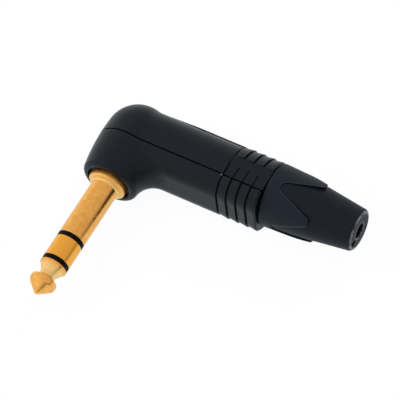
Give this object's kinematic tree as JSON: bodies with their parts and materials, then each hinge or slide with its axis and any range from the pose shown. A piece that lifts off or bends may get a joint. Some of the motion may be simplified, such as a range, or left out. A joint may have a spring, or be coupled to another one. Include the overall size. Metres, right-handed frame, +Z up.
{
  "type": "right-angle stereo jack plug",
  "caption": "Right-angle stereo jack plug: three-pole plug finger in an elbow housing with a lift-off cover, and a screw-on boot that closes a chuck on the cable.",
  "frame": {"origin": "on the plug finger's axis, in the front face of the boss at the root of the sleeve contact", "axes": "-Y along the finger to its point, +X along the cable's axis to the cable hole, +Z up with the plug lying on its side"},
  "size_m": [0.0629, 0.0525, 0.0152],
  "materials": {
    "shell_metal": "satin black coat on die-cast metal",
    "gold_plate": "polished gold plating",
    "black_insulator": "satin black moulding",
    "white_insulator": "natural white moulding",
    "tinned_brass": "tinned sheet",
    "nickel_steel": "nickel plated",
    "chuck_plastic": "satin black moulding",
    "collar_plastic": "fine satin, blue-black",
    "boot_rubber": "soft matt"
  },
  "bodies": {
    "housing": {"lower_shell": "shell_metal", "top_cover": "shell_metal", "plug_sleeve": "gold_plate", "ring_insulator": "black_insulator", "plug_ring": "gold_plate", "tip_insulator": "black_insulator", "plug_tip": "gold_plate", "ground_tag": "tinned_brass", "lock_washer": "nickel_steel", "finger_nut": "nickel_steel", "back_insulator": "white_insulator", "ring_tag": "tinned_brass", "tag_insulator": "white_insulator", "tip_tag": "tinned_brass", "contact_carrier": "white_insulator"},
    "chuck": {"cable_chuck": "chuck_plastic"},
    "boot": {"boot_collar": "collar_plastic", "boot_sleeve": "boot_rubber"}
  },
  "joints": [
    {"name": "chuck_slide", "type": "slide", "parent": "housing", "child": "chuck", "axis": [1, 0, 0], "range_m": [0, 0.005]},
    {"name": "boot_turn", "type": "hinge", "parent": "chuck", "child": "boot", "pos_m": [0.036, 0.0152, 0], "axis": [1, 0, 0], "range_deg": [0, 1440]}
  ],
  "couplings": [
    {"joint": "boot_turn", "follows": "chuck_slide", "rad_per_m": 5026.5}
  ]
}
